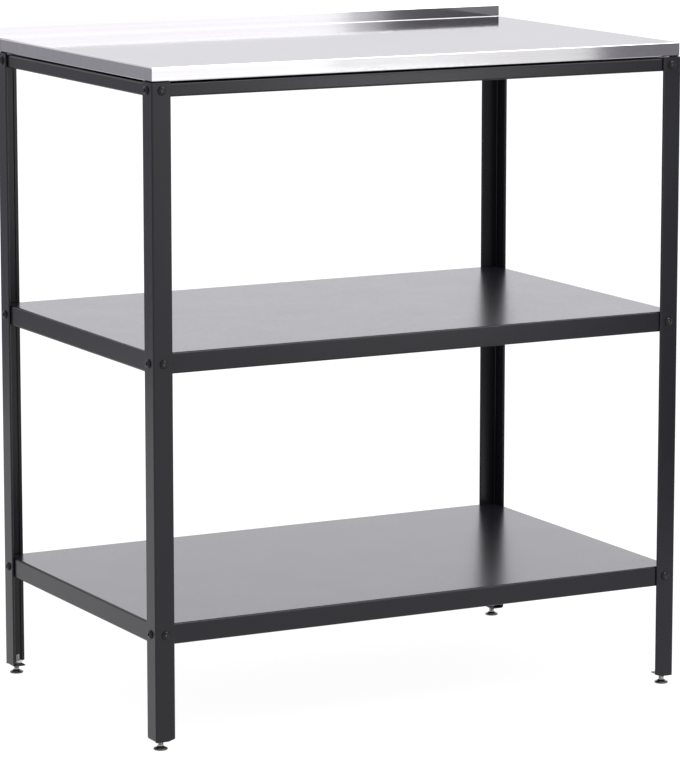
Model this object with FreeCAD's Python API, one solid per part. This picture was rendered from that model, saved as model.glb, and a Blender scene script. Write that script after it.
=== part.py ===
"""Three-tier steel patio table with a stainless worktop tray, made from folded sheet metal.

Millimetres, +Z up, origin on the floor under the middle of the footprint, front towards -Y.
Each piece is written to its own STEP file in the folder parts.
"""

import FreeCAD
import Part
import math
import os

V = FreeCAD.Vector

# Overall size
WIDTH = 800.0            # over the outer faces of the legs, along X
DEPTH = 500.0            # over the outer faces of the legs, along Y
TOP_Z = 900.0            # cooking surface above the floor
FOOT_H = 12.0            # floor to the underside of the legs

# Legs, folded from one strip with hemmed free edges
LEG_T = 1.5
LEG_W = 28.0
LEG_R = 1.0              # inside bend radius
HEM_GAP = 0.2
HEM_LEAF = 5.0
LEG_TOP = 880.5
TAB_X = 19.0             # foot tab, inwards from the side plate
TAB_Y0, TAB_Y1 = 3.0, 26.0
TAB_SLIT = 0.4           # cut that frees the tab from the front plate
TOE_RUN, TOE_RISE = 11.0, 3.3    # slope at the foot of the front plate's free edge
NICK_W, NICK_H = 1.5, 2.5        # corner taken off the top of each free edge
BEVEL_W, BEVEL_H = 3.5, 2.7      # corner taken off the top of the bend

# Shelf pans and the top pan
PAN_T = 1.5
PAN_R = 1.0
RIM_IN = 3.3             # rim face behind the outer face of the leg
RETURN = 15.0
SHELF_H = 28.0
MID_Z = 529.0
LOW_Z = 169.5
RAIL_H = 17.8
RAIL_Z = 878.8
MITRE_GAP = 0.4          # between the returns at the corners of a pan

# Hat sections under the shelves and under the worktop
HAT_T, HAT_R = 1.2, 1.0
STIFFENER_LEN, STIFFENER_H = 740.0, 20.0
STIFFENER_CROWN, STIFFENER_FLANGE = 36.0, 14.0
STIFFENER_Y = 120.0
BEARER_LEN, BEARER_CROWN, BEARER_FLANGE = 420.0, 40.0, 18.0
BEARER_X = (-250.0, 0.0, 250.0)
BEARER_SCREW_Y = 190.0

# Stainless worktop tray
TOP_T = 1.2
TOP_R = 0.6
TOP_IN = 2.0             # skirt face behind the outer face of the leg
SKIRT_Z = 881.0
LIP = 8.0
UPSTAND_Z = 916.5
HEM_BEND = 0.2           # inside radius of the upstand's folded-back edge
REAR_END = 27.0          # rear stretch of a side skirt that is left square

# Fixings
SCREW_AT = 15.0          # screw axis from the outer corner of the leg
HEAD_R, HEAD_H = 6.0, 3.3
SOCKET = 4.0             # across the flats of the hexagon socket
SHANK_R, SHANK_L = 2.95, 10.0
HOLE_R = 3.3             # hole in the leg
BARREL_R, BULB_R, BULB_L = 4.5, 5.5, 4.4
FLANGE_R, BORE_R = 6.5, 3.0
M5_R, M5_HOLE_R, M5_BORE_R = 2.45, 2.7, 2.5
M5_HEAD_R, M5_HEAD_H, M5_SOCKET, M5_LEN = 4.7, 2.8, 3.0, 7.6
M5_NUT, M5_NUT_H = 8.0, 4.0
FLATS = 12               # flats that stand for a round on the small fixings

# Levelling feet, M8
FOOT_AT = 11.5           # foot centre from both outer faces of the leg
STUD_R, STUD_TOP = 4.0, 26.5
SLOT_W, SLOT_H = 1.2, 1.5
PIN_R, PIN_Z, NECK_Z = 3.0, 2.3, 6.3
PAD_R, PAD_Z = 9.5, 6.0
FREE = 0.05              # radial clearance of the stud in its nut and of its pin in the pad
TAB_HOLE_R = 4.4
NUT, NUT_H = 13.0, 5.0

HX, HY = WIDTH / 2, DEPTH / 2
FLANGE_T = RIM_IN - LEG_T
TIERS = {"top": (RAIL_Z, RAIL_H), "middle": (MID_Z, SHELF_H), "lower": (LOW_Z, SHELF_H)}
BEARER_PTS = [(x + s * (BEARER_CROWN + BEARER_FLANGE + 1.0) / 2, s * BEARER_SCREW_Y)
              for x in BEARER_X for s in (-1, 1)]
CORNERS = {"front_left": (-1, -1), "front_right": (1, -1),
           "rear_left": (-1, 1), "rear_right": (1, 1)}


def box(x0, x1, y0, y1, z0, z1):
    """Box between two corners."""
    return Part.makeBox(x1 - x0, y1 - y0, z1 - z0, V(x0, y0, z0))


def rounded(points, radii):
    """Edges of an open 2-D polyline with a fillet of the given radius at each inner vertex."""
    legs, arcs, at = [], [], points[0]
    for i in range(1, len(points) - 1):
        p, q, s = points[i - 1], points[i], points[i + 1]
        a = (p[0] - q[0], p[1] - q[1])
        b = (s[0] - q[0], s[1] - q[1])
        la, lb = math.hypot(*a), math.hypot(*b)
        a, b = (a[0] / la, a[1] / la), (b[0] / lb, b[1] / lb)
        half = math.acos(max(-1.0, min(1.0, a[0] * b[0] + a[1] * b[1]))) / 2
        cut, reach = radii[i - 1] / math.tan(half), radii[i - 1] / math.sin(half)
        m = (a[0] + b[0], a[1] + b[1])
        lm = math.hypot(*m)
        start = (q[0] + a[0] * cut, q[1] + a[1] * cut)
        end = (q[0] + b[0] * cut, q[1] + b[1] * cut)
        mid = (q[0] + m[0] / lm * (reach - radii[i - 1]), q[1] + m[1] / lm * (reach - radii[i - 1]))
        legs.append(("line", at, start))
        legs.append(("arc", start, mid, end))
        at = end
    legs.append(("line", at, points[-1]))
    return legs


def strip_face(path, t, r_in, place, side=1):
    """Closed face of a folded strip.

    path is one surface of the sheet, the material lies on its left (side 1) or right (side -1),
    r_in is one inside bend radius or one per bend, and place maps (u, v) into space.
    """
    n = len(path) - 2
    r_in = [r_in] * n if not isinstance(r_in, (list, tuple)) else list(r_in)
    norms = []
    for (x0, y0), (x1, y1) in zip(path, path[1:]):
        l = math.hypot(x1 - x0, y1 - y0)
        norms.append((-(y1 - y0) / l * side, (x1 - x0) / l * side))
    other = [(path[0][0] + norms[0][0] * t, path[0][1] + norms[0][1] * t)]
    near, far = [], []
    for i in range(1, len(path) - 1):
        a, b = norms[i - 1], norms[i]
        k = t / (1 + a[0] * b[0] + a[1] * b[1])
        other.append((path[i][0] + (a[0] + b[0]) * k, path[i][1] + (a[1] + b[1]) * k))
        into = (a[0] * b[1] - a[1] * b[0]) * side > 0
        near.append(r_in[i - 1] + (t if into else 0))
        far.append(r_in[i - 1] + (0 if into else t))
    other.append((path[-1][0] + norms[-1][0] * t, path[-1][1] + norms[-1][1] * t))
    loop = rounded(path, near) + [("line", path[-1], other[-1])]
    loop += rounded(other[::-1], far[::-1]) + [("line", other[0], path[0])]
    edges = []
    for e in loop:
        pts = [place(*p) for p in e[1:]]
        if (pts[-1] - pts[0]).Length < 1e-6:
            continue
        edges.append(Part.Arc(*pts).toShape() if e[0] == "arc" else Part.makeLine(*pts))
    return Part.Face(Part.Wire(edges))


def prism(points, z0, z1):
    """Vertical prism over a plan polygon."""
    ring = [V(x, y, z0) for x, y in points]
    return Part.Face(Part.makePolygon(ring + ring[:1])).extrude(V(0, 0, z1 - z0))


def lathe(points, base):
    """Solid of revolution from (radius, height) points, set on base."""
    ring = [V(r, 0, z) for r, z in points]
    solid = Part.Face(Part.makePolygon(ring + ring[:1])).revolve(V(0, 0, 0), V(0, 0, 1), 360)
    return solid.translated(base)


def fixing(points, bored=False):
    """Small fixing with FLATS flats round Z through (radius, height) points, solid or bored."""
    turns = [2 * math.pi * (k + 0.5) / FLATS for k in range(FLATS)]
    rings = [[V(r * math.cos(a), r * math.sin(a), z) for a in turns] for r, z in points]
    loops = [[low[k - 1], low[k], high[k], high[k - 1]]
             for low, high in zip(rings, rings[1:] + rings[:1] if bored else rings[1:])
             for k in range(FLATS)]
    if not bored:
        loops += [rings[0], rings[-1]]
    shell = Part.makeShell([Part.Face(Part.makePolygon(loop + loop[:1])) for loop in loops])
    shell.sewShape()
    solid = Part.Solid(shell)
    if solid.Volume < 0:
        solid.reverse()
    return solid.removeSplitter()


def set_on(shape, base, out):
    """Shape made along Z, set on base and turned to point along out."""
    shape.Placement = FreeCAD.Placement(base, FreeCAD.Rotation(V(0, 0, 1), out))
    return shape


def hexagon(across, z0, z1, x=0.0, y=0.0):
    """Hexagonal prism with flats square to X."""
    r = across / math.sqrt(3)
    return prism([(x + r * math.sin(math.radians(60 * k)), y + r * math.cos(math.radians(60 * k)))
                  for k in range(6)], z0, z1)


def mirror_to(shape, sx, sy):
    """Copy of a front-left shape moved to another corner by mirroring."""
    out = shape.copy()
    if sx > 0:
        out = out.mirror(V(0, 0, 0), V(1, 0, 0))
    if sy > 0:
        out = out.mirror(V(0, 0, 0), V(0, 1, 0))
    return out


def fused(shapes):
    """One clean solid from touching shapes."""
    return shapes[0].multiFuse(shapes[1:]).removeSplitter()


# Folded pans
def side_strips(w, d, face, mitre_gap, corner, reach=26.0):
    """Front strip swept along X and cut back at 45 degrees, then turned to the four sides."""
    out = {}
    for name, span, off, turn in (("front", w, d / 2, 0), ("right", d, w / 2, 90),
                                  ("rear", w, d / 2, 180), ("left", d, w / 2, 270)):
        half = span / 2
        place = lambda u, v, o=off, h=half: V(-h, -o + u, v)
        solid = face(place).extrude(V(span, 0, 0))
        c, g = corner, mitre_gap
        plan = [(-half + c, -off - 1), (half - c, -off - 1), (half - c, -off + c - g),
                (half - reach - g, -off + reach), (-half + reach + g, -off + reach),
                (-half + c, -off + c - g)]
        plan = [p for i, p in enumerate(plan) if p != plan[i - 1]]
        solid = solid.common(prism(plan, -50, 1000))
        solid.rotate(V(0, 0, 0), V(0, 0, 1), turn)
        out[name] = solid
    return out


def make_pan(z_top, height):
    """Shelf pan: flat sheet, four plain rims, return flanges, open corners and screw holes."""
    w, d = WIDTH - 2 * RIM_IN, DEPTH - 2 * RIM_IN
    r = PAN_R + PAN_T
    start = r + 0.5
    z0 = z_top - height

    def face(place):
        return strip_face([(start, z_top), (0, z_top), (0, z0), (RETURN, z0)], PAN_T, PAN_R, place)

    strips = side_strips(w, d, face, MITRE_GAP, r + 0.2)
    flat = box(-w / 2 + start, w / 2 - start, -d / 2 + start, d / 2 - start, z_top - PAN_T, z_top)
    pan = fused([flat] + list(strips.values()))
    return pan.cut(fixing_set(make_rim_hole, z_top - height / 2))


def hat(length, height, crown, flange):
    """Hat section along X, flanges at z 0 and crown at z height."""
    c, t = crown / 2, HAT_T
    path = [(-c - flange, t), (-c, t), (-c, height), (c, height), (c, t), (c + flange, t)]
    face = strip_face(path, t, HAT_R, lambda u, v: V(-length / 2, u, v), side=-1)
    return face.extrude(V(length, 0, 0))


def make_stiffeners(z_top):
    """Two hat sections under a shelf, crown down, spot-welded to the sheet."""
    out = []
    for y in (-STIFFENER_Y, STIFFENER_Y):
        h = hat(STIFFENER_LEN, STIFFENER_H, STIFFENER_CROWN, STIFFENER_FLANGE)
        h.rotate(V(0, 0, 0), V(1, 0, 0), 180)
        h.translate(V(0, y, z_top - PAN_T))
        out.append(h)
    return Part.makeCompound(out)


# Worktop tray with three skirts and a folded-back upstand
def make_worktop():
    w, d = WIDTH - 2 * TOP_IN, DEPTH - 2 * TOP_IN
    t = TOP_T
    r = TOP_R + t
    start = r + 0.5
    back = 2 * t + 0.4

    def skirt(place):
        return strip_face([(start, TOP_Z), (0, TOP_Z), (0, SKIRT_Z), (LIP, SKIRT_Z)],
                          t, TOP_R, place)

    strips = side_strips(w, d, skirt, 0.0, 0.0)
    keep = box(-w, w, -d, d / 2 - back - 1.0, 0, 1000)
    sides = [strips["front"], strips["left"].common(keep), strips["right"].common(keep)]
    for sx in (-1, 1):
        square = skirt(lambda u, v: V(sx * (w / 2 - u), d / 2 - back - 1.0 - REAR_END, v))
        sides.append(square.extrude(V(0, REAR_END, 0)))
    rear = strip_face([(back + 3.0, TOP_Z), (back, TOP_Z), (back, UPSTAND_Z), (0, UPSTAND_Z),
                       (0, SKIRT_Z), (LIP, SKIRT_Z)], t, [TOP_R, HEM_BEND, HEM_BEND, TOP_R],
                      lambda u, v: V(-w / 2, d / 2 - u, v)).extrude(V(w, 0, 0))
    flat = box(-w / 2 + start, w / 2 - start, -d / 2 + start, d / 2 - back - 1.0,
               TOP_Z - t, TOP_Z)
    return fused([flat, rear] + sides)


def at_bearer_screws(shape):
    """Copies of a shape made round Z at the six bearer screws."""
    return Part.makeCompound([shape.translated(V(x, y, 0)) for x, y in BEARER_PTS])


def bearer_holes():
    """Cutter for the screw holes through the bearers and the top pan."""
    return at_bearer_screws(fixing([(M5_HOLE_R, RAIL_Z - 4.0), (M5_HOLE_R, RAIL_Z + 4.0)]))


def make_bearers():
    """Three hat sections between the top pan and the worktop tray."""
    out = []
    for x in BEARER_X:
        h = hat(BEARER_LEN, TOP_Z - TOP_T - RAIL_Z, BEARER_CROWN, BEARER_FLANGE)
        h.rotate(V(0, 0, 0), V(0, 0, 1), 90)
        h.translate(V(x, 0, RAIL_Z))
        out.append(h.cut(bearer_holes()))
    return Part.makeCompound(out)


def make_top_pan():
    """Top pan, drilled for the bearer screws."""
    return make_pan(RAIL_Z, RAIL_H).cut(bearer_holes())


def make_bearer_screws():
    """Button-head M5 socket screws driven up from under the top pan."""
    under = RAIL_Z - PAN_T
    low, brim = under - M5_HEAD_H, under - 1.2
    one = fixing([(M5_HEAD_R - 1.7, low), (M5_HEAD_R, brim), (M5_HEAD_R, under), (M5_R, under),
                  (M5_R, under + M5_LEN)])
    return at_bearer_screws(one.cut(hexagon(M5_SOCKET, low - 1.0, brim)))


def make_bearer_nuts():
    """Hexagonal weld nuts on the bearer flanges."""
    z = RAIL_Z + HAT_T
    bore = fixing([(M5_BORE_R, z - 1.0), (M5_BORE_R, z + M5_NUT_H + 1.0)])
    return at_bearer_screws(hexagon(M5_NUT, z, z + M5_NUT_H).cut(bore))


# Legs
def slanted_cut(points, place, along):
    """Cutter from a flat outline that place puts into space, swept along a vector."""
    ring = [place(*p) for p in points]
    return Part.Face(Part.makePolygon(ring + ring[:1])).extrude(along)


def bend_bevel(x0, y0):
    """Cutter that takes off the sharp top of a leg's bend, square to its diagonal."""
    diagonal = math.sqrt(0.5)
    d, bend = BEVEL_W * diagonal, (LEG_R + LEG_T) * (math.sqrt(2) - 1)
    slope = BEVEL_H / (d - bend)
    outline = [(d + 1.0, LEG_TOP + slope), (-2.0, LEG_TOP + slope), (-2.0, LEG_TOP - slope * (d + 2.0))]
    cut = slanted_cut(outline, lambda u, z: V(x0 + u * diagonal, y0 + u * diagonal, z), V(8, -8, 0))
    return cut.translated(V(-4, 4, 0))


def make_leg():
    """Front-left leg: hemmed angle with a foot tab folded in from the side plate."""
    a, hem, r = LEG_W, 2 * LEG_T + HEM_GAP, LEG_R + LEG_T
    fold = HEM_GAP / 2
    path = [(a - HEM_LEAF, hem), (a, hem), (a, 0), (0, 0), (0, a), (hem, a), (hem, a - HEM_LEAF)]
    face = strip_face(path, LEG_T, [fold, fold, LEG_R, fold, fold],
                      lambda u, v: V(-HX + u, -HY + v, FOOT_H), side=-1)
    leg = face.extrude(V(0, 0, LEG_TOP - FOOT_H))
    x0, y0, z0 = -HX, -HY, FOOT_H
    leg = leg.cut(box(x0 - 1, x0 + hem + 1, y0 + TAB_Y0 - TAB_SLIT, y0 + a + 1, z0 - 1, z0 + r))
    tab = strip_face([(0, z0 + r + TAB_SLIT), (0, z0), (TAB_X, z0)], LEG_T, LEG_R,
                     lambda u, v: V(x0 + u, y0 + TAB_Y0, v)).extrude(V(0, TAB_Y1 - TAB_Y0, 0))
    tab = tab.common(box(x0 - 1, x0 + 40, y0, y0 + 40, z0 - 1, z0 + r))
    leg = fused([leg, tab])

    front = lambda u, z: V(x0 + u, y0 - 1, z)
    through = V(0, hem + 2, 0)
    toe = slanted_cut([(a + 1, z0 + TOE_RISE), (a - TOE_RUN + 1, z0), (a - TOE_RUN + 1, z0 - 1),
                       (a + 1, z0 - 1)], front, through)
    nick = slanted_cut([(a - NICK_W, LEG_TOP + 1), (a + 1, LEG_TOP + 1), (a + 1, LEG_TOP - NICK_H)],
                       front, through)
    cuts = [toe, nick, nick.mirror(V(x0, y0, 0), V(1, -1, 0).normalize()), bend_bevel(x0, y0),
            Part.makeCylinder(TAB_HOLE_R, 6, V(x0 + FOOT_AT, y0 + FOOT_AT, z0 - 2))]
    cuts += [fixing_set(make_leg_hole, z_top - h / 2) for z_top, h in TIERS.values()]
    return leg.cut(Part.makeCompound(cuts))


# Levelling feet
FOOT_X, FOOT_Y = -HX + FOOT_AT, -HY + FOOT_AT


def make_foot_nut():
    """Front-left hexagonal weld nut on the foot tab."""
    z = FOOT_H + LEG_T
    bore = Part.makeCylinder(STUD_R + FREE, NUT_H + 2, V(FOOT_X, FOOT_Y, z - 1))
    return hexagon(NUT, z, z + NUT_H, FOOT_X, FOOT_Y).cut(bore)


def make_foot_stud():
    """Front-left slotted stud with a pin at its foot."""
    stud = lathe([(0, PIN_Z), (PIN_R, PIN_Z), (PIN_R, NECK_Z), (STUD_R, NECK_Z),
                  (STUD_R, STUD_TOP - 0.8), (STUD_R - 0.8, STUD_TOP), (0, STUD_TOP)],
                 V(FOOT_X, FOOT_Y, 0))
    return stud.cut(box(FOOT_X - STUD_R - 1, FOOT_X + STUD_R + 1, FOOT_Y - SLOT_W / 2,
                        FOOT_Y + SLOT_W / 2, STUD_TOP - SLOT_H, STUD_TOP + 1))


def make_foot_pad():
    """Front-left pad with a blind bore for the stud's pin."""
    bore, floor = PIN_R + FREE, PIN_Z - 0.3
    return lathe([(0, 0), (PAD_R, 0), (PAD_R, 2.2), (6.6, 3.6), (5.0, PAD_Z), (bore, PAD_Z),
                  (bore, floor), (0, floor)], V(FOOT_X, FOOT_Y, 0))


# Screws through the legs and threaded inserts in the rims
def make_screw(base, out):
    """Button-head socket screw; base is on the leg's outer face and out points away from it."""
    one = fixing([(SHANK_R, -SHANK_L), (SHANK_R, 0), (HEAD_R, 0), (HEAD_R, 0.6), (4.9, 2.2),
                  (2.8, HEAD_H)])
    return set_on(one.cut(hexagon(SOCKET, HEAD_H - 2.0, HEAD_H + 1)), base, out)


def make_insert(base, out):
    """Threaded insert: flange between leg and rim, barrel in the rim, collapsed bulb behind it."""
    a, b = -LEG_T, -LEG_T - FLANGE_T
    c = b - PAN_T
    one = fixing([(BORE_R, a), (FLANGE_R, a), (FLANGE_R, b), (BARREL_R, b), (BARREL_R, c),
                  (BULB_R, c), (BULB_R, c - BULB_L), (BORE_R, c - BULB_L)], bored=True)
    return set_on(one, base, out)


def make_leg_hole(base, out):
    """Cutter for the hole in one plate of a leg."""
    return set_on(fixing([(HOLE_R, -LEG_T - 1.0), (HOLE_R, 1.0)]), base, out)


def make_rim_hole(base, out):
    """Cutter for the hole in a rim that takes an insert's barrel."""
    return set_on(fixing([(BARREL_R, -RIM_IN - PAN_T - 1.0), (BARREL_R, 0)]), base, out)


def fixing_set(maker, z):
    """Eight copies at one height, one on each face of each leg."""
    out = []
    for sx, sy in CORNERS.values():
        out.append(maker(V(sx * (HX - SCREW_AT), sy * HY, z), V(0, sy, 0)))
        out.append(maker(V(sx * HX, sy * (HY - SCREW_AT), z), V(sx, 0, 0)))
    return Part.makeCompound(out)


def build():
    """All pieces by name."""
    parts = {
        "worktop": make_worktop(), "worktop_bearers": make_bearers(),
        "bearer_screws": make_bearer_screws(), "bearer_nuts": make_bearer_nuts(),
        "top_pan": make_top_pan(),
        "middle_shelf": make_pan(MID_Z, SHELF_H), "lower_shelf": make_pan(LOW_Z, SHELF_H),
        "middle_stiffeners": make_stiffeners(MID_Z), "lower_stiffeners": make_stiffeners(LOW_Z),
    }
    leg, nut, stud, pad = make_leg(), make_foot_nut(), make_foot_stud(), make_foot_pad()
    for name, (sx, sy) in CORNERS.items():
        parts["leg_" + name] = mirror_to(leg, sx, sy)
        parts["stud_" + name] = mirror_to(stud, sx, sy)
        parts["pad_" + name] = mirror_to(pad, sx, sy)
    parts["foot_nuts"] = Part.makeCompound([mirror_to(nut, *s) for s in CORNERS.values()])
    for tier, (z_top, h) in TIERS.items():
        parts["leg_screws_" + tier] = fixing_set(make_screw, z_top - h / 2)
        parts["insert_nuts_" + tier] = fixing_set(make_insert, z_top - h / 2)
    return parts


os.makedirs("parts", exist_ok=True)
for name, shape in build().items():
    if not shape.isValid():
        raise ValueError(name + " is not a valid shape")
    shape.exportStep("parts/" + name + ".step")
    print(name, len(shape.Solids), "solid(s)", round(shape.Volume / 1000, 2), "cm3")
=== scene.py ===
"""Looks of a three-tier steel patio table with a brushed stainless worktop tray.

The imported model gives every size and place. The folded sheet-metal pieces keep their own mesh and
get a finish. Screws, inserts, nuts, studs and foot pads are built here, with the detail that they
show close up. Metres, +Z up, floor at z 0, front towards -Y.
"""

import logging
import math
from dataclasses import dataclass
from enum import Enum
from typing import Callable, ClassVar

import bpy
from mathutils import Matrix, Vector


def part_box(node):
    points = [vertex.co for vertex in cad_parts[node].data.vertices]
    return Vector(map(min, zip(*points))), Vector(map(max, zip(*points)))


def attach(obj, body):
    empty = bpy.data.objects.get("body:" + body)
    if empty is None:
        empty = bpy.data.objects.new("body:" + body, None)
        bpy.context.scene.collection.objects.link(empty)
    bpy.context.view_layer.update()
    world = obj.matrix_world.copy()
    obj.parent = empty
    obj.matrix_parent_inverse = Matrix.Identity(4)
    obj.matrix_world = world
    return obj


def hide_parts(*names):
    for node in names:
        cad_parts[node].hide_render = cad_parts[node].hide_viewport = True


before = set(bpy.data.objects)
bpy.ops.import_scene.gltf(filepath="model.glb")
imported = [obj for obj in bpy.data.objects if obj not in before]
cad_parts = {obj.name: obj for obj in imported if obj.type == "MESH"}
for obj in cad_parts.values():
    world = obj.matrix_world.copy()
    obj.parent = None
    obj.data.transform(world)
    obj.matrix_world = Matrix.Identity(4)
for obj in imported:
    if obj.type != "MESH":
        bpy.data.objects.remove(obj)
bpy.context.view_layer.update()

MM = 0.001
FULL_TURN = 2 * math.pi
SIXTH_TURN = math.pi / 3
UP = Vector((0.0, 0.0, 1.0))
WHITE = (1.0, 1.0, 1.0, 1.0)
RUBBED = "rubbed"
log = logging.getLogger("table")


def grey(level: float) -> tuple[float, float, float, float]:
    """An opaque grey."""
    return (level, level, level, 1.0)


class Corner(Enum):
    """The four legs, as the signs of X and Y."""

    FRONT_LEFT = (-1, -1)
    FRONT_RIGHT = (1, -1)
    REAR_LEFT = (-1, 1)
    REAR_RIGHT = (1, 1)

    @property
    def label(self) -> str:
        """The corner's name as the model's pieces spell it."""
        return self.name.lower()


class Tier(Enum):
    """The three levels that the legs carry, with the pan of each."""

    TOP = "top_pan"
    MIDDLE = "middle_shelf"
    LOWER = "lower_shelf"

    @property
    def label(self) -> str:
        """The tier's name as the model's pieces spell it."""
        return self.name.lower()


class Slot(Enum):
    """The material slots of the table, one finish to each."""

    STEEL = "brushed_stainless"
    COAT = "black_powder_coat"
    PLATED = "zinc_plated"
    SCREW = "black_screw"
    PAD = "black_pad"


# Node trees
class Value:
    """A socket in a node tree. Arithmetic on a number socket adds Math nodes."""

    def __init__(self, graph: "Graph", socket: bpy.types.NodeSocket) -> None:
        """Keeps the tree and the socket."""
        self.graph = graph
        self.socket = socket

    def out(self, name: str) -> "Value":
        """Another output of the same node."""
        return Value(self.graph, self.socket.node.outputs[name])

    def math(self, operation: str, first: "Value | float", second: "Value | float") -> "Value":
        """One Math node.

        Args:
            operation: The node's operation.
            first: Its first number.
            second: Its second number.

        Returns:
            The result.
        """
        return self.graph.add("ShaderNodeMath", {"operation": operation}, {0: first, 1: second})

    def __add__(self, other: "Value | float") -> "Value":
        """Sum."""
        return self.math("ADD", self, other)

    def __sub__(self, other: "Value | float") -> "Value":
        """Difference."""
        return self.math("SUBTRACT", self, other)

    def __rsub__(self, other: float) -> "Value":
        """Difference from a number."""
        return self.math("SUBTRACT", other, self)

    def __mul__(self, other: "Value | float") -> "Value":
        """Product."""
        return self.math("MULTIPLY", self, other)

    __radd__ = __add__
    __rmul__ = __mul__


class Graph:
    """A node tree and the one way in which nodes are added to it."""

    def __init__(self, tree: bpy.types.NodeTree) -> None:
        """Keeps the tree."""
        self.tree = tree

    def add(self, kind: str, settings: dict | None = None, sockets: dict | None = None,
            output: int | str = 0) -> Value:
        """Adds a node.

        Args:
            kind: The node's type name.
            settings: Its settings, set before its sockets.
            sockets: A value or a link for each input, by name, or by number where names repeat.
            output: Which output is wanted.

        Returns:
            That output, or the first input of a node that has none.
        """
        node = self.tree.nodes.new(kind)
        for name, setting in (settings or {}).items():
            setattr(node, name, setting)
        for name, value in (sockets or {}).items():
            self.feed(node.inputs[name], value)
        if not node.outputs:
            return Value(self, node.inputs[0])
        return Value(self, node.outputs[output])

    def feed(self, socket: bpy.types.NodeSocket, value: object) -> None:
        """Links or sets one input.

        Args:
            socket: The input.
            value: A link to another node, or a plain value.
        """
        if isinstance(value, Value):
            self.tree.links.new(value.socket, socket)
        else:
            socket.default_value = value


@dataclass(frozen=True)
class Noise:
    """One scale of unevenness: features to the metre, octaves, and share of the finer octaves."""

    scale: float
    detail: float = 2.0
    rough: float = 0.5
    MEAN: ClassVar[float] = 0.5


class Shader(Graph):
    """A material's node tree with its Principled shader."""

    # Numbers of the Mix node's colour sockets, whose names repeat
    MIX_SHARE, MIX_FIRST, MIX_SECOND, MIX_COLOUR = 0, 6, 7, 2

    def __init__(self, name: str, constants: dict) -> None:
        """Makes the material.

        Args:
            name: The material's name.
            constants: What is the same all over the surface, by socket name.
        """
        self.material = bpy.data.materials.new(name)
        self.material.use_nodes = True
        super().__init__(self.material.node_tree)
        self.tree.nodes.clear()
        self.surface = self.add("ShaderNodeBsdfPrincipled", sockets=constants)
        self.add("ShaderNodeOutputMaterial", sockets={"Surface": self.surface})

    def vary(self, name: str, value: Value) -> None:
        """Links what changes over the surface to one of the shader's sockets."""
        self.feed(self.surface.socket.node.inputs[name], value)

    def place(self) -> Value:
        """The object's own coordinates."""
        return self.add("ShaderNodeTexCoord", output="Object")

    def noise(self, at: Value, kind: Noise) -> Value:
        """Noise from 0 to 1, read at a place."""
        return self.add("ShaderNodeTexNoise", sockets={
            "Vector": at, "Scale": kind.scale, "Detail": kind.detail, "Roughness": kind.rough})

    @staticmethod
    def sway(value: Value, span: float) -> Value:
        """Noise made to swing evenly about 0, over a span."""
        return (value - Noise.MEAN) * span

    def blend(self, share: Value, first: tuple, second: tuple) -> Value:
        """Mixes two colours.

        Args:
            share: The second colour's share, from 0 to 1.
            first: The first colour.
            second: The second colour.

        Returns:
            The mixed colour.
        """
        return self.add("ShaderNodeMix", {"data_type": "RGBA"}, {
            self.MIX_SHARE: share, self.MIX_FIRST: first, self.MIX_SECOND: second},
            output=self.MIX_COLOUR)

    def bump(self, height: Value, depth: float) -> Value:
        """A normal from a height value and the depth in metres that 1 stands for."""
        return self.add("ShaderNodeBump", sockets={"Height": height, "Distance": depth})


# Finishes
@dataclass(frozen=True)
class PowderCoat:
    """Satin black powder coat with a fine orange peel."""

    slot: Slot = Slot.COAT
    deep: tuple = (0.0070, 0.0065, 0.0096, 1.0)
    worn: tuple = (0.0096, 0.0090, 0.0128, 1.0)
    ior: float = 1.5
    specular: float = 0.29
    roughness: float = 0.25
    cloud: Noise = Noise(14.0, detail=3.0)
    cloud_gloss: float = 0.02
    fine: Noise = Noise(160.0)
    fine_gloss: float = 0.04
    peel: Noise = Noise(900.0, detail=1.0)
    peel_depth: float = 0.006 * MM

    def material(self) -> bpy.types.Material:
        """Builds the finish: cloudy depth of colour, slightly uneven gloss and orange peel.

        Returns:
            The material.
        """
        shader = Shader(self.slot.value, {"IOR": self.ior, "Specular IOR Level": self.specular})
        at = shader.place()
        cloud = shader.noise(at, self.cloud)
        fine = shader.noise(at, self.fine)
        gloss = shader.sway(cloud, self.cloud_gloss) + shader.sway(fine, self.fine_gloss)
        shader.vary("Base Color", shader.blend(cloud, self.deep, self.worn))
        shader.vary("Roughness", self.roughness + gloss)
        shader.vary("Normal", shader.bump(shader.noise(at, self.peel), self.peel_depth))
        return shader.material


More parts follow.
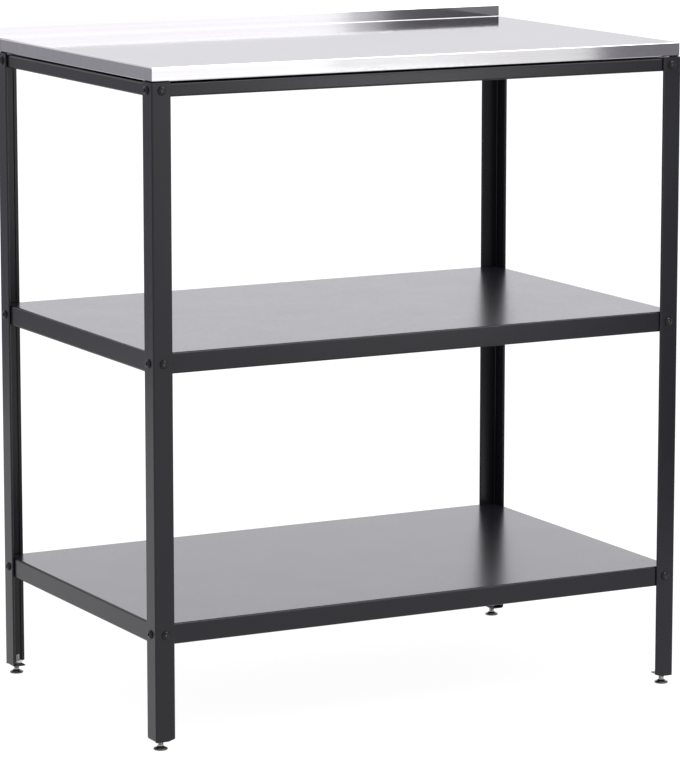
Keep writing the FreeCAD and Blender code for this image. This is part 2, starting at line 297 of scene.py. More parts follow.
@dataclass(frozen=True)
class BrushedSteel:
    """Stainless sheet brushed along X, whose grain runs on down the folded sides."""

    slot: Slot = Slot.STEEL
    bright: tuple = (0.715, 0.705, 0.715, 1.0)
    dull: tuple = (0.575, 0.567, 0.577, 1.0)
    edge_tint: float = 0.765
    roughness: float = 0.065
    along: float = 3.0              # grain to the metre along a scratch
    across: float = 1500.0          # and across it
    fine: Noise = Noise(1.0, detail=3.0, rough=0.6)
    fine_tint: float = 0.45
    fine_gloss: float = 0.05
    streak: Noise = Noise(0.28, detail=3.0, rough=0.6)
    streak_tint: float = 0.7
    wide: Noise = Noise(0.06)
    wide_tint: float = 0.6
    cloud: Noise = Noise(7.0)
    cloud_tint: float = 0.1
    cloud_gloss: float = 0.02
    base_tint: float = 0.45
    grain_depth: float = 0.005 * MM

    def material(self) -> bpy.types.Material:
        """Builds the finish: long scratches that tint, roughen and lift the surface.

        Returns:
            The material.
        """
        shader = Shader(self.slot.value, {
            "Metallic": 1.0, "Specular Tint": grey(self.edge_tint)})
        grain = self.grain(shader)
        fine = shader.noise(grain, self.fine)
        streak = shader.noise(grain, self.streak)
        wide = shader.noise(grain, self.wide)
        cloud = shader.noise(shader.place(), self.cloud)
        scratches = (shader.sway(fine, self.fine_tint) + shader.sway(streak, self.streak_tint)
                     + shader.sway(wide, self.wide_tint))
        tint = scratches + cloud * self.cloud_tint + self.base_tint
        gloss = shader.sway(fine, self.fine_gloss) + shader.sway(cloud, self.cloud_gloss)
        shader.vary("Base Color", shader.blend(tint, self.dull, self.bright))
        shader.vary("Roughness", self.roughness + gloss)
        shader.vary("Normal", shader.bump(fine, self.grain_depth))
        return shader.material

    def grain(self, shader: Shader) -> Value:
        """Coordinates stretched along the grain: X on the top and long sides, Z on the ends.

        Args:
            shader: The material's shader.

        Returns:
            The stretched coordinates.
        """
        facing = shader.add("ShaderNodeTexCoord", output="Normal")
        sideways = shader.add("ShaderNodeSeparateXYZ", sockets={"Vector": facing}, output="X")
        end_face = sideways * sideways
        at = shader.add("ShaderNodeSeparateXYZ", sockets={"Vector": shader.place()})
        down = self.across - end_face * (self.across - self.along)
        return shader.add("ShaderNodeCombineXYZ", sockets={
            "X": at.out("X") * self.along, "Y": at.out("Y") * self.across,
            "Z": at.out("Z") * down})


@dataclass(frozen=True)
class PlatedSteel:
    """Zinc-plated hardware."""

    slot: Slot = Slot.PLATED
    bright: tuple = (0.66, 0.65, 0.64, 1.0)
    dull: tuple = (0.40, 0.39, 0.38, 1.0)
    roughness: float = 0.22
    cloud: Noise = Noise(420.0, detail=4.0, rough=0.65)
    cloud_gloss: float = 0.2
    pits: Noise = Noise(3000.0)
    pit_depth: float = 0.003 * MM

    def material(self) -> bpy.types.Material:
        """Builds the finish: crystalline clouding of colour and gloss.

        Returns:
            The material.
        """
        shader = Shader(self.slot.value, {"Metallic": 1.0})
        at = shader.place()
        cloud = shader.noise(at, self.cloud)
        shader.vary("Base Color", shader.blend(cloud, self.dull, self.bright))
        shader.vary("Roughness", self.roughness + shader.sway(cloud, self.cloud_gloss))
        shader.vary("Normal", shader.bump(shader.noise(at, self.pits), self.pit_depth))
        return shader.material


@dataclass(frozen=True)
class BlackScrew:
    """Black-oxide steel of the button-head screws, rubbed bright where the key turns."""

    slot: Slot = Slot.SCREW
    deep: tuple = (0.003, 0.003, 0.004, 1.0)
    worn: tuple = (0.008, 0.008, 0.009, 1.0)
    bare: tuple = (0.06, 0.06, 0.06, 1.0)
    ior: float = 1.5
    specular: float = 0.24
    roughness: float = 0.16
    fleck: Noise = Noise(900.0, detail=3.0, rough=0.6)
    fleck_gloss: float = 0.10

    def material(self) -> bpy.types.Material:
        """Builds the finish: oiled black with paler flecks, and bare steel in the socket.

        Returns:
            The material.
        """
        shader = Shader(self.slot.value, {"IOR": self.ior, "Specular IOR Level": self.specular})
        fleck = shader.noise(shader.place(), self.fleck)
        rubbed = shader.add("ShaderNodeAttribute", {"attribute_name": RUBBED}, output="Fac")
        oxide = shader.blend(fleck, self.deep, self.worn)
        shader.vary("Base Color", shader.blend(rubbed, oxide, self.bare))
        shader.vary("Metallic", rubbed)
        shader.vary("Roughness", self.roughness + shader.sway(fleck, self.fleck_gloss))
        return shader.material


@dataclass(frozen=True)
class BlackPad:
    """Moulded black nylon of the levelling feet."""

    slot: Slot = Slot.PAD
    deep: tuple = (0.010, 0.010, 0.011, 1.0)
    worn: tuple = (0.022, 0.022, 0.024, 1.0)
    ior: float = 1.53
    specular: float = 0.7
    roughness: float = 0.14
    cloud: Noise = Noise(260.0, detail=3.0)
    cloud_gloss: float = 0.10
    grain: Noise = Noise(2600.0, detail=1.0)
    grain_depth: float = 0.006 * MM

    def material(self) -> bpy.types.Material:
        """Builds the finish: glossy skin with a fine moulded grain.

        Returns:
            The material.
        """
        shader = Shader(self.slot.value, {"IOR": self.ior, "Specular IOR Level": self.specular})
        at = shader.place()
        cloud = shader.noise(at, self.cloud)
        shader.vary("Base Color", shader.blend(cloud, self.deep, self.worn))
        shader.vary("Roughness", self.roughness + shader.sway(cloud, self.cloud_gloss))
        shader.vary("Normal", shader.bump(shader.noise(at, self.grain), self.grain_depth))
        return shader.material


FINISHES = {finish.slot: finish.material() for finish in (
    PowderCoat(), BrushedSteel(), PlatedSteel(), BlackScrew(), BlackPad())}


# Turned shapes
Section = Callable[[float], float]
Ring = tuple[Section, float]
Profile = list[tuple[float, float]]
STEPS = 48
SHARP = math.radians(32)


def circle(radius: float) -> Section:
    """Radius of a round section at any angle."""
    return lambda angle: radius


def hexagon(across: float) -> Section:
    """Radius of a hexagon, given across its flats, at any angle."""
    half = SIXTH_TURN / 2
    return lambda angle: across / 2 / math.cos((angle + half) % SIXTH_TURN - half)


def smaller(first: Section, second: Section) -> Section:
    """The inner one of two sections at any angle."""
    return lambda angle: min(first(angle), second(angle))


def arc(start: tuple[float, float], end: tuple[float, float], bulge: float, count: int) -> Profile:
    """Points of a shallow arc from start to end, both left out.

    Args:
        start: First (radius, height).
        end: Last (radius, height).
        bulge: How far the middle stands off the chord, to its left.
        count: How many points.

    Returns:
        The points between.
    """
    across = (end[0] - start[0], end[1] - start[1])
    length = math.hypot(*across)
    left = (-across[1] / length, across[0] / length)
    points = []
    for k in range(1, count + 1):
        t = k / (count + 1)
        off = 4 * bulge * t * (1 - t)
        points.append((start[0] + across[0] * t + left[0] * off,
                       start[1] + across[1] * t + left[1] * off))
    return points


def turn(name: str, rings: list[Ring], steps: int = STEPS, loop: bool = False
         ) -> bpy.types.Object:
    """Closed skin over sections stacked along Z.

    Args:
        name: The object's name.
        rings: Each section's radius by angle, and its height.
        steps: Corners to a section.
        loop: Whether the last section joins the first, as round a bore; else both ends are capped.

    Returns:
        The new object, smooth where its faces turn gently.
    """
    angles = [FULL_TURN * k / steps for k in range(steps)]
    points = [(radius(a) * math.cos(a), radius(a) * math.sin(a), z)
              for radius, z in rings for a in angles]
    faces = []
    for r in range(len(rings) if loop else len(rings) - 1):
        low, high = r * steps, (r + 1) % len(rings) * steps
        for k in range(steps):
            n = (k + 1) % steps
            faces.append((low + k, low + n, high + n, high + k))
    if not loop:
        faces.append(tuple(reversed(range(steps))))
        faces.append(tuple(range(len(points) - steps, len(points))))
    mesh = bpy.data.meshes.new(name)
    mesh.from_pydata(points, [], faces)
    mesh.polygons.foreach_set("use_smooth", [True] * len(mesh.polygons))
    mesh.set_sharp_from_angle(angle=SHARP)
    made = bpy.data.objects.new(name, mesh)
    bpy.context.scene.collection.objects.link(made)
    return made


def round_rings(profile: Profile) -> list[Ring]:
    """Round sections from (radius, height) points."""
    return [(circle(r), z) for r, z in profile]


def set_down(made: bpy.types.Object, at: Vector, slot: Slot, body: str, *nodes: str) -> None:
    """Puts a piece in its place in its mesh, finishes it and hands it to the frame.

    Args:
        made: The piece.
        at: Where its own origin goes.
        slot: Its material slot.
        body: The body that it rides on.
        nodes: The nodes that it stands for.
    """
    made.data.transform(Matrix.Translation(at))
    made.data.materials.clear()
    made.data.materials.append(FINISHES[slot])
    hand_over(made, slot, body, *nodes)


def hand_over(made: bpy.types.Object, slot: Slot, body: str, *nodes: str) -> None:
    """Rides a finished piece on its body and hides the nodes that it stands for.

    Args:
        made: The piece.
        slot: Its material slot; not used.
        body: The body that it rides on.
        nodes: The nodes that it stands for.
    """
    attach(made, body)
    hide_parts(*nodes)
    log.info("%s: %d faces on %s", made.name, len(made.data.polygons), body)


# Repeats
Place = tuple[Vector, Vector]


class FixingPattern:
    """Geometry Nodes tree that sets a copy of one fixing at each of a set of places.

    A place is a point and the way that the fixing's +Z points there. Each copy is rolled on its own
    axis by a seeded part of the given angle.
    """

    FACING = "facing"
    INPUTS = {"Places": "NodeSocketGeometry", "Fixing": "NodeSocketObject",
              "Roll": "NodeSocketFloat", "Seed": "NodeSocketInt", "Finish": "NodeSocketMaterial"}
    # Numbers of the Random Value node's float sockets, whose names repeat
    RANDOM_MIN, RANDOM_MAX, RANDOM_FLOAT = 2, 3, 1

    def __init__(self, name: str) -> None:
        """Builds the tree and keeps the identifier of each named input.

        Args:
            name: The tree's name.
        """
        self.tree = bpy.data.node_groups.new(name, "GeometryNodeTree")
        self.identifiers = {}
        for label, kind in self.INPUTS.items():
            made = self.tree.interface.new_socket(label, in_out="INPUT", socket_type=kind)
            self.identifiers[label] = made.identifier
        self.tree.interface.new_socket("Geometry", in_out="OUTPUT",
                                       socket_type="NodeSocketGeometry")
        self.wire(Graph(self.tree))

    def wire(self, graph: Graph) -> None:
        """Adds the nodes: turned and rolled copies, realized and finished.

        Args:
            graph: The tree, which has its inputs and its output.
        """
        given = graph.add("NodeGroupInput")
        facing = graph.add("GeometryNodeInputNamedAttribute", {"data_type": "FLOAT_VECTOR"},
                           {"Name": self.FACING})
        turned = graph.add("FunctionNodeAlignRotationToVector", {"axis": "Z"}, {"Vector": facing})
        roll = graph.add("FunctionNodeRandomValue", {"data_type": "FLOAT"}, {
            self.RANDOM_MIN: 0.0, self.RANDOM_MAX: given.out("Roll"), "Seed": given.out("Seed")},
            output=self.RANDOM_FLOAT)
        rolled = graph.add("FunctionNodeRotateRotation", {"rotation_space": "LOCAL"}, {
            "Rotation": turned,
            "Rotate By": graph.add("ShaderNodeCombineXYZ", sockets={"Z": roll})})
        fixing = graph.add("GeometryNodeObjectInfo", sockets={"Object": given.out("Fixing")},
                           output="Geometry")
        copies = graph.add("GeometryNodeInstanceOnPoints", sockets={
            "Points": given.out("Places"), "Instance": fixing, "Rotation": rolled})
        solid = graph.add("GeometryNodeRealizeInstances", sockets={"Geometry": copies})
        dressed = graph.add("GeometryNodeSetMaterial", sockets={
            "Geometry": solid, "Material": given.out("Finish")})
        graph.add("NodeGroupOutput", sockets={"Geometry": dressed})

    def spread(self, name: str, places: list[Place], values: dict) -> bpy.types.Object:
        """Runs the tree once.

        Args:
            name: The new piece's name.
            places: Where the copies go and which way they point.
            values: A value for each other named input.

        Returns:
            The copies as one plain mesh.
        """
        points = bpy.data.meshes.new(name)
        points.from_pydata([point for point, facing in places], [], [])
        facing = points.attributes.new(self.FACING, "FLOAT_VECTOR", "POINT")
        facing.data.foreach_set("vector", [part for place in places for part in place[1]])
        carrier = bpy.data.objects.new(name + ".carrier", points)
        bpy.context.scene.collection.objects.link(carrier)
        modifier = carrier.modifiers.new("pattern", "NODES")
        modifier.node_group = self.tree
        for label, value in values.items():
            modifier[self.identifiers[label]] = value
        graph = bpy.context.evaluated_depsgraph_get()
        mesh = bpy.data.meshes.new_from_object(carrier.evaluated_get(graph))
        carrier.modifiers.clear()
        bpy.data.objects.remove(carrier)
        made = bpy.data.objects.new(name, mesh)
        bpy.context.scene.collection.objects.link(made)
        return made


# Fixings, each turned about Z
@dataclass(frozen=True)
class ButtonScrew:
    """Proportions of a button-head socket screw, with its seat at z 0 and its head above."""

    head_radius: float = 6.0 * MM
    head_height: float = 3.3 * MM
    socket: float = 4.0 * MM
    socket_depth: float = 2.0 * MM
    shank_radius: float = 2.95 * MM
    shank_length: float = 10.0 * MM
    edge: float = 0.35 * MM         # chamfer round the seat
    dome_start: float = 0.56 * MM   # top of the head's straight side
    dome: float = 0.55 * MM         # the dome's height off its chord
    dome_steps: int = 7
    land_ratio: float = 0.66        # where the flat top ends, less the mouth, to the socket
    mouth: float = 0.25 * MM        # how much wider the socket is at its mouth
    mouth_top: float = 0.05 * MM
    mouth_depth: float = 0.2 * MM
    # Cone below the socket's floor: radius to the socket, and depth
    drill: tuple = ((0.30, 0.35 * MM), (0.03, 0.6 * MM))
    tip_ratio: float = 0.72
    tip_length: float = 0.8 * MM

    def shape(self, name: str) -> bpy.types.Object:
        """The screw, with a domed head and a chamfered socket.

        Args:
            name: The object's name.

        Returns:
            The screw.
        """
        top, tip = self.head_height, -self.shank_length
        rim = (self.head_radius, self.dome_start)
        land = (self.socket * self.land_ratio + self.mouth, top)
        outside = [(self.shank_radius * self.tip_ratio, tip),
                   (self.shank_radius, tip + self.tip_length), (self.shank_radius, 0.0),
                   (self.head_radius - self.edge, 0.0), (self.head_radius, self.edge), rim]
        outside += arc(rim, land, -self.dome, self.dome_steps) + [land]
        floor = top - self.socket_depth
        inside = [(hexagon(self.socket + self.mouth), top - self.mouth_top),
                  (hexagon(self.socket), top - self.mouth_depth), (hexagon(self.socket), floor)]
        inside += [(circle(self.socket * share), floor - depth) for share, depth in self.drill]
        made = turn(name, round_rings(outside) + inside)
        rubbed = made.data.attributes.new(RUBBED, "FLOAT", "POINT")
        black = len(outside) * STEPS
        bare = len(made.data.vertices) - black
        rubbed.data.foreach_set("value", [0.0] * black + [1.0] * bare)
        return made


@dataclass(frozen=True)
class HexagonNut:
    """Hexagon nut with chamfered corners and a countersunk bore, standing on z 0."""

    across: float
    bore: float
    chamfer_ratio: float = 0.96     # round part of each end, to the size across the flats
    chamfer_angle: float = math.radians(30)
    chamfer_steps: int = 4
    sink_ratio: float = 0.12        # countersink, to the bore

    def shape(self, name: str, height: float) -> bpy.types.Object:
        """The nut.

        Args:
            name: The object's name.
            height: The nut's height.

        Returns:
            The nut.
        """
        flat = self.across / 2 * self.chamfer_ratio
        corner = self.across / 2 / math.cos(SIXTH_TURN / 2)
        drop = (corner - flat) * math.tan(self.chamfer_angle)
        sink = self.bore * self.sink_ratio
        edge = []
        for k in range(self.chamfer_steps + 1):
            t = k / self.chamfer_steps
            section = smaller(circle(flat + (corner - flat) * t), hexagon(self.across))
            edge.append((section, drop * t))
        rings = [(circle(self.bore + sink), 0.0)] + edge
        rings += [(section, height - z) for section, z in reversed(edge)]
        rings += [(circle(self.bore + sink), height), (circle(self.bore), height - sink),
                  (circle(self.bore), sink)]
        return turn(name, rings, loop=True)


@dataclass(frozen=True)
class RimInsert:
    """Threaded insert set in a pan's rim, behind the outer face of a leg plate at z 0."""

    plate: float = 1.5 * MM
    flange: float = 1.8 * MM
    flange_radius: float = 6.5 * MM
    barrel_radius: float = 4.5 * MM
    bulb_radius: float = 5.5 * MM
    bulb_length: float = 4.4 * MM
    # How far inside the bulb's radius and how far behind the rim its outline runs
    bulb_steps: tuple = ((1.0 * MM, 2.0 * MM), (0.35 * MM, 1.6 * MM), (0.0, 1.0 * MM),
                         (0.0, 0.05 * MM))
    bore: float = 3.0 * MM
    soft: float = 0.3 * MM          # chamfer of the outer edges
    steps: int = 36

    def shape(self, name: str) -> bpy.types.Object:
        """The insert, with its collapsed bulb behind the rim.

        Args:
            name: The object's name.

        Returns:
            The insert.
        """
        front = -self.plate
        seat = front - self.flange
        back = seat - self.plate
        end = back - self.bulb_length
        outside = [(self.bore, end), (self.barrel_radius - self.soft, end),
                   (self.barrel_radius, end + self.soft)]
        outside += [(self.bulb_radius - inwards, back - behind)
                    for inwards, behind in self.bulb_steps]
        outside += [(self.barrel_radius, back), (self.barrel_radius, seat),
                    (self.flange_radius, seat), (self.flange_radius, front - self.soft),
                    (self.flange_radius - self.soft, front), (self.bore, front)]
        return turn(name, round_rings(outside), steps=self.steps, loop=True)


@dataclass(frozen=True)
class ThreadedStud:
    """A stud with a rolled thread over a plain shoulder and the pad's pin, standing on the floor."""

    pitch: float = 1.25 * MM
    thread: float = 0.55 * MM       # the thread's depth
    flank: float = 2.6              # slope of its flanks, in depths to a pitch
    crest: float = 0.15             # share of the depth that its flat crest cuts off
    rings_per_turn: int = 8
    pin_radius: float = 3.0 * MM
    shoulder: float = 5.15 * MM
    shoulder_in: float = 0.3 * MM
    shoulder_edge: float = 0.25 * MM
    relief: float = 0.05 * MM       # how far the plain neck is below the thread's crests
    thread_start: float = 6.3 * MM
    run_out: float = 0.3 * MM
    bevel_in: float = 0.9 * MM      # depth of the bevel at both ends of the thread
    bevel_slope: float = 1.2
    end_ratio: float = 0.3
    steps: int = 32

    def shape(self, name: str, radius: float, low: float, high: float) -> bpy.types.Object:
        """The stud.

        Args:
            name: The object's name.
            radius: The thread's outer radius.
            low: The height of the pin's end.
            high: The height of the stud's end.

        Returns:
            The stud.
        """
        plain = circle(radius - self.relief)
        rings = [(circle(self.pin_radius), low), (circle(self.pin_radius), self.shoulder),
                 (circle(radius - self.shoulder_in), self.shoulder),
                 (plain, self.shoulder + self.shoulder_edge),
                 (plain, self.thread_start - self.run_out)]
        length = high - self.thread_start
        count = round(length / self.pitch * self.rings_per_turn)
        for k in range(count + 1):
            z = self.thread_start + length * k / count
            nearer_end = min(z - self.thread_start, high - z)
            bevel = circle(radius - self.bevel_in + nearer_end * self.bevel_slope)
            rings.append((smaller(self.section(radius, z), bevel), z))
        rings.append((circle(radius * self.end_ratio), high))
        return turn(name, rings, steps=self.steps)

    def section(self, radius: float, z: float) -> Section:
        """The thread's section at one height: a triangle wave that winds up with the angle.

        Args:
            radius: The thread's outer radius.
            z: The height.

        Returns:
            The section.
        """
        def at(angle: float) -> float:
            """Radius at one angle."""
            phase = (z / self.pitch - angle / FULL_TURN) % 1.0
            return radius - self.thread * self.depth(phase)
        return at

    def depth(self, phase: float) -> float:
        """Share of the thread's depth that is cut away at one phase of its pitch."""
        return min(1.0, max(0.0, self.flank * abs(phase - 0.5) - self.crest))


@dataclass(frozen=True)
class FootPad:
    """A flared disc with a rolled edge and a low collar round the stud's pin, on the floor."""

    sole_ratio: float = 0.55
    edge: float = 0.6 * MM          # rolled lower edge
    edge_ratio: float = 0.3         # where the middle of the roll lies, to its size
    side_top: float = 1.9 * MM
    shoulder_in: float = 0.3 * MM
    shoulder_top: float = 2.3 * MM
    flare: float = 0.25 * MM        # the flank's height off its chord
    flare_steps: int = 6
    waist_out: float = 0.2 * MM
    waist_drop: float = 0.6 * MM
    collar_radius: float = 4.8 * MM
    collar_top: float = 5.0 * MM
    collar_edge: float = 0.3 * MM
    bore: float = 3.05 * MM
    bore_edge: float = 0.2 * MM
    bore_floor: float = 2.0 * MM
    bore_ratio: float = 0.3

    def shape(self, name: str, radius: float) -> bpy.types.Object:
        """The pad.

        Args:
            name: The object's name.
            radius: The disc's radius.

        Returns:
            The pad.
        """
        top, collar, bore = self.collar_top, self.collar_radius, self.bore
        roll = self.edge * self.edge_ratio
        shoulder = (radius - self.shoulder_in, self.shoulder_top)
        waist = (collar + self.waist_out, top - self.waist_drop)
        profile = [(radius * self.sole_ratio, 0.0), (radius - self.edge, 0.0),
                   (radius - roll, roll), (radius, self.edge), (radius, self.side_top), shoulder]
        profile += arc(shoulder, waist, self.flare, self.flare_steps) + [waist]
        profile += [(collar, top - self.collar_edge), (collar - self.collar_edge, top),
                    (bore + self.bore_edge, top), (bore, top - self.bore_edge),
                    (bore, self.bore_floor), (bore * self.bore_ratio, self.bore_floor)]
        return turn(name, round_rings(profile))


# Sub-assemblies
@dataclass(frozen=True)
class SheetMetal:
    """The folded pieces, which keep their own mesh and get a finish."""

    steel: tuple = ("worktop",)
    hats: tuple = ("worktop_bearers", "middle_stiffeners", "lower_stiffeners")

    def dress(self) -> None:
        """Gives each sheet-metal node its finish and slot."""
        pans = tuple(tier.value for tier in Tier)
        legs = tuple("leg_" + corner.label for corner in Corner)
        for names, slot in ((self.steel, Slot.STEEL), (pans + legs + self.hats, Slot.COAT)):
            for name in names:
                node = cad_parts[name]
                node.data.materials.clear()
                node.data.materials.append(FINISHES[slot])
                log.info("%s: %s", name, slot.value)


@dataclass
class LegFixings:
    """Button-head screws through the legs and threaded inserts in the rims, eight to a tier."""

    pattern: FixingPattern
    screw: ButtonScrew = ButtonScrew()
    insert: RimInsert = RimInsert()
    inset: float = 15.0 * MM

    def places(self, height: float) -> list[Place]:
        """The eight places at one height: one on the outer face of each plate of each leg.

        Args:
            height: Their height.

        Returns:
            The places.
        """
        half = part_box("leg_rear_right")[1]
        found = []
        for corner in Corner:
            x, y = corner.value
            found.append((Vector((x * (half.x - self.inset), y * half.y, height)),
                          Vector((0.0, y, 0.0))))
            found.append((Vector((x * half.x, y * (half.y - self.inset), height)),
                          Vector((x, 0.0, 0.0))))
        return found

    def build(self) -> None:
        """Sets the screws and the inserts of each tier."""
        screw = self.screw.shape("leg_screw_shape")
        insert = self.insert.shape("insert_shape")
        for seed, tier in enumerate(Tier):
            low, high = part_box("leg_screws_" + tier.label)
            places = self.places((low.z + high.z) / 2)
            for piece, node, shape, slot in (
                    ("button_screws_", "leg_screws_", screw, Slot.SCREW),
                    ("rim_inserts_", "insert_nuts_", insert, Slot.PLATED)):
                made = self.pattern.spread(piece + tier.label, places, {
                    "Fixing": shape, "Roll": SIXTH_TURN, "Seed": seed, "Finish": FINISHES[slot]})
                hand_over(made, slot, "frame", node + tier.label)
        for shape in (screw, insert):
            bpy.data.objects.remove(shape)


@dataclass
class BearerFixings:
    """Small screws driven up through the top pan into weld nuts on the worktop's bearers."""

    pattern: FixingPattern
    screw: ButtonScrew = ButtonScrew(
        head_radius=4.7 * MM, head_height=2.8 * MM, socket=3.0 * MM, socket_depth=1.6 * MM,
        shank_radius=2.45 * MM, shank_length=7.6 * MM)
    nut: HexagonNut = HexagonNut(across=8.0 * MM, bore=2.5 * MM)
    pitch: float = 250.0 * MM
    off_centre: float = 29.5 * MM
    reach: float = 190.0 * MM

    def places(self, height: float, facing: Vector) -> list[Place]:
        """The six places at one height, two to a bearer.

        Args:
            height: Their height.
            facing: The way that the fixings point.

        Returns:
            The places.
        """
        return [(Vector((bearer * self.pitch + side * self.off_centre, side * self.reach, height)),
                 facing) for bearer in (-1, 0, 1) for side in (-1, 1)]

    def build(self) -> None:
        """Sets the screws with their heads down and the nuts above the flanges."""
        low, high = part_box("bearer_nuts")
        screw = self.screw.shape("bearer_screw_shape")
        nut = self.nut.shape("bearer_nut_shape", high.z - low.z)
        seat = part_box("bearer_screws")[0].z + self.screw.head_height
        for piece, node, shape, places, roll in (
                ("tray_screws", "bearer_screws", screw, self.places(seat, -UP), SIXTH_TURN),
                ("tray_weld_nuts", "bearer_nuts", nut, self.places(low.z, UP), 0.0)):
            made = self.pattern.spread(piece, places, {
                "Fixing": shape, "Roll": roll, "Seed": 0, "Finish": FINISHES[Slot.PLATED]})
            hand_over(made, Slot.PLATED, "frame", node)
            bpy.data.objects.remove(shape)


@dataclass
class Feet:
    """The four levelling feet and the nuts that hold them in the legs' foot tabs."""

    pattern: FixingPattern
    stud: ThreadedStud = ThreadedStud()
    pad: FootPad = FootPad()
    nut: HexagonNut = HexagonNut(across=13.0 * MM, bore=4.05 * MM)

    def foot(self, corner: Corner) -> Vector:
        """Builds the stud and the pad of one foot, each on its own body.

        Args:
            corner: The foot's corner.

        Returns:
            The foot's axis on the floor.
        """
        stud_node, pad_node = "stud_" + corner.label, "pad_" + corner.label
        low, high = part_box(stud_node)
        axis = Vector(((low.x + high.x) / 2, (low.y + high.y) / 2, 0.0))
        stud = self.stud.shape("threaded_" + stud_node, (high.x - low.x) / 2, low.z, high.z)
        set_down(stud, axis, Slot.PLATED, stud_node, stud_node)
        low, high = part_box(pad_node)
        pad = self.pad.shape("foot_" + pad_node, (high.x - low.x) / 2)
        set_down(pad, axis, Slot.PAD, pad_node, pad_node)
        return axis

    def build(self) -> None:
        """Builds the feet on their own bodies and the nuts on the frame."""
        low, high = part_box("foot_nuts")
        places = [(self.foot(corner) + UP * low.z, UP) for corner in Corner]
        nut = self.nut.shape("foot_nut_shape", high.z - low.z)
        made = self.pattern.spread("hexagon_foot_nuts", places, {
            "Fixing": nut, "Roll": 0.0, "Seed": 0, "Finish": FINISHES[Slot.PLATED]})
        hand_over(made, Slot.PLATED, "frame", "foot_nuts")
        bpy.data.objects.remove(nut)


# Studio
MATT = 0.9


@dataclass(frozen=True)
class Softbox:
    """A rectangular area light that the camera doesn't see."""

    name: str
    at: tuple
    aim: tuple
    size: tuple
    power: float

    def build(self) -> None:
        """Hangs the light."""
        lamp = bpy.data.lights.new(self.name, "AREA")
        lamp.shape = "RECTANGLE"
        lamp.size, lamp.size_y = self.size
        lamp.energy = self.power
        made = bpy.data.objects.new(self.name, lamp)
        bpy.context.scene.collection.objects.link(made)
        made.location = self.at
        way = Vector(self.aim) - Vector(self.at)
        made.rotation_euler = way.to_track_quat("-Z", "Y").to_euler()
        made.visible_camera = False


def panel(name: str, corners: list, material: bpy.types.Material) -> bpy.types.Object:
    """A flat four-cornered piece of the studio.

    Args:
        name: Its name.
        corners: Its corners, in order.
        material: Its material.

    Returns:
        The panel.
    """
    mesh = bpy.data.meshes.new(name)
    mesh.from_pydata(corners, [], [(0, 1, 2, 3)])
    mesh.materials.append(material)
    made = bpy.data.objects.new(name, mesh)
    bpy.context.scene.collection.objects.link(made)
    return made


@dataclass(frozen=True)
class Card:
    """An upright card between two places on the plan, which shows only in reflections."""

    name: str
    start: tuple
    end: tuple
    span: tuple
    shade: float
    TINT: ClassVar[tuple] = (1.0, 0.985, 1.07)

    def build(self) -> None:
        """Stands the card from the lower to the upper height of its span."""
        colour = tuple(self.shade * part for part in self.TINT) + (1.0,)
        shader = Shader(self.name, {"Roughness": MATT, "Base Color": colour})
        low, high = self.span
        corners = [(*self.start, low), (*self.end, low), (*self.end, high), (*self.start, high)]
        panel(self.name, corners, shader.material).visible_camera = False


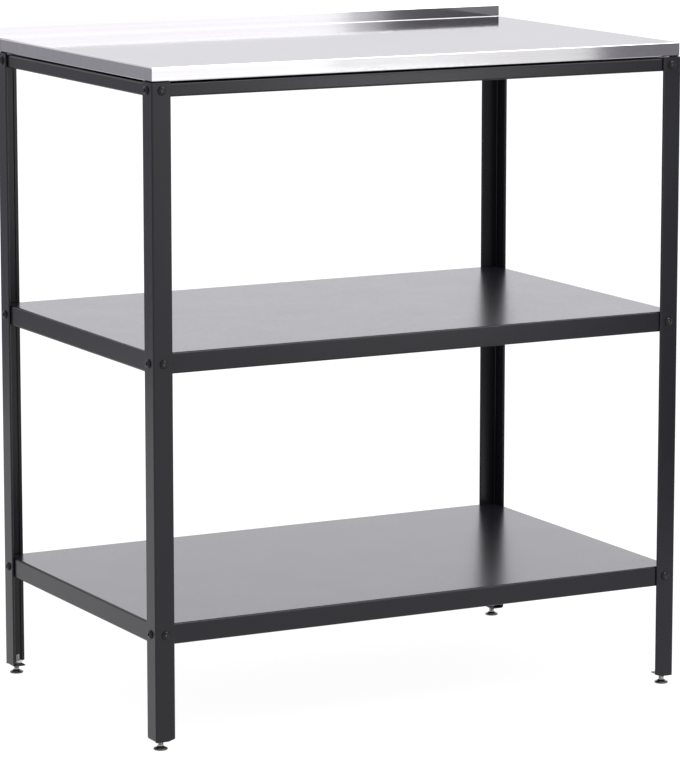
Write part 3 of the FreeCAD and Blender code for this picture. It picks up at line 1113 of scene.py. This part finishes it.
@dataclass(frozen=True)
class Studio:
    """Pale floor, soft light and the camera."""

    focal_px: float = 4065.34           # in a frame of the height below
    frame_height_px: float = 761.0
    sensor: float = 36.0                # millimetres, along the frame's longer side
    far_clip: float = 200.0
    eye: tuple = (-2.60362, -4.9415, 1.38683)
    yaw: float = 27.82447
    pitch: float = 9.77006
    sky: tuple = (1.0, 1.93)            # strength of the surround, and of the glow in it
    horizon: tuple = (0.09, 0.145)      # sines of the heights between which the glow rises
    glow_top: tuple = (0.26, 0.36)      # and between which it fades
    glow_edge: tuple = (0.66, 0.92)     # cosines off the camera's heading between which it grows
    tint: tuple = (1.0, 0.990, 1.035, 1.0)
    floor_size: float = 60.0
    floor_glow: float = 0.93
    floor_grey: tuple = (0.10, 0.12)
    floor_cloud: Noise = Noise(0.8)
    lights: tuple = (
        Softbox("front_softbox", at=(0.725, -2.8, 0.755), aim=(0.725, 0.0, 0.755),
                size=(0.95, 0.39), power=0.52),
        Softbox("upper_softbox", at=(1.005, -2.8, 1.2), aim=(1.005, 0.0, 1.2),
                size=(1.51, 0.5), power=2.7),
        Softbox("rail_softbox", at=(1.38, -2.8, 0.455), aim=(1.38, 0.0, 0.455),
                size=(0.35, 0.15), power=3.9),
        Softbox("overhead_light", at=(1.0, -1.3, 2.8), aim=(0.0, 0.0, 0.6),
                size=(2.0, 2.0), power=50.0))
    cards: tuple = (
        Card("right_card", start=(1.757, -2.69), end=(2.9, -2.45), span=(0.0, 0.9), shade=0.22),
        Card("high_card", start=(1.79, -2.69), end=(2.9, -2.45), span=(0.9, 1.5), shade=0.12),
        Card("near_card", start=(0.9, -1.2), end=(2.6, -1.2), span=(0.0, 0.65), shade=0.1),
        Card("left_card", start=(-2.3, 2.3), end=(-0.7, 2.3), span=(0.0, 0.78), shade=0.35),
        Card("side_card", start=(-3.4, -1.2), end=(-3.0, -2.2), span=(0.0, 1.0), shade=0.03))

    def camera(self) -> None:
        """Sets the camera at the photographed angle, with no shift and no depth of field."""
        lens = bpy.data.cameras.new("camera")
        lens.sensor_width = self.sensor
        lens.lens = self.focal_px / self.frame_height_px * self.sensor
        lens.clip_end = self.far_clip
        made = bpy.data.objects.new("camera", lens)
        bpy.context.scene.collection.objects.link(made)
        turned = (Matrix.Rotation(-math.radians(self.yaw), 4, "Z")
                  @ Matrix.Rotation(math.radians(90.0 - self.pitch), 4, "X"))
        made.matrix_world = Matrix.Translation(self.eye) @ turned
        bpy.context.scene.camera = made

    def world(self) -> None:
        """A white surround, brighter above the horizon on the side that the shelves mirror."""
        made = bpy.data.worlds.new("studio")
        made.use_nodes = True
        made.node_tree.nodes.clear()
        graph = Graph(made.node_tree)
        way = graph.add("ShaderNodeTexCoord", output="Generated")
        height = graph.add("ShaderNodeSeparateXYZ", sockets={"Vector": way}, output="Z")
        yaw = math.radians(self.yaw)
        behind = graph.add("ShaderNodeVectorMath", {"operation": "DOT_PRODUCT"},
                           {0: way, 1: (math.sin(yaw), math.cos(yaw), 0.0)}, output="Value")
        band = self.rise(graph, height, self.horizon) * (
            1.0 - self.rise(graph, height, self.glow_top))
        glow = band * self.rise(graph, behind, self.glow_edge)
        light = glow * (self.sky[1] - self.sky[0]) + self.sky[0]
        lit = graph.add("ShaderNodeBackground", sockets={"Color": self.tint, "Strength": light})
        graph.add("ShaderNodeOutputWorld", sockets={"Surface": lit})
        bpy.context.scene.world = made
        bpy.context.scene.view_settings.view_transform = "Standard"

    @staticmethod
    def rise(graph: Graph, value: Value, edge: tuple[float, float]) -> Value:
        """Goes smoothly from 0 to 1 as the value crosses an edge.

        Args:
            graph: The tree.
            value: The value.
            edge: Where the rise begins and ends.

        Returns:
            The result.
        """
        return graph.add("ShaderNodeMapRange", {"interpolation_type": "SMOOTHSTEP"}, {
            "Value": value, "From Min": edge[0], "From Max": edge[1]})

    def floor(self) -> None:
        """A large pale floor, faintly mottled, that keeps only a soft shadow."""
        shader = Shader("pale_floor", {"Roughness": MATT, "Emission Color": WHITE,
                                       "Emission Strength": self.floor_glow})
        cloud = shader.noise(shader.place(), self.floor_cloud)
        shader.vary("Base Color", shader.blend(cloud, *map(grey, self.floor_grey)))
        half = self.floor_size / 2
        panel("floor", [(-half, -half, 0), (half, -half, 0), (half, half, 0), (-half, half, 0)],
              shader.material)

    def build(self) -> None:
        """Builds the whole studio."""
        self.camera()
        self.world()
        self.floor()
        for item in self.lights + self.cards:
            item.build()


def main() -> None:
    """Builds every sub-assembly and the studio."""
    logging.basicConfig(level=logging.INFO, format="%(name)s %(message)s")
    SheetMetal().dress()
    pattern = FixingPattern("fixings_at_places")
    LegFixings(pattern).build()
    BearerFixings(pattern).build()
    Feet(pattern).build()
    Studio().build()


if __name__ == "__main__":
    main()
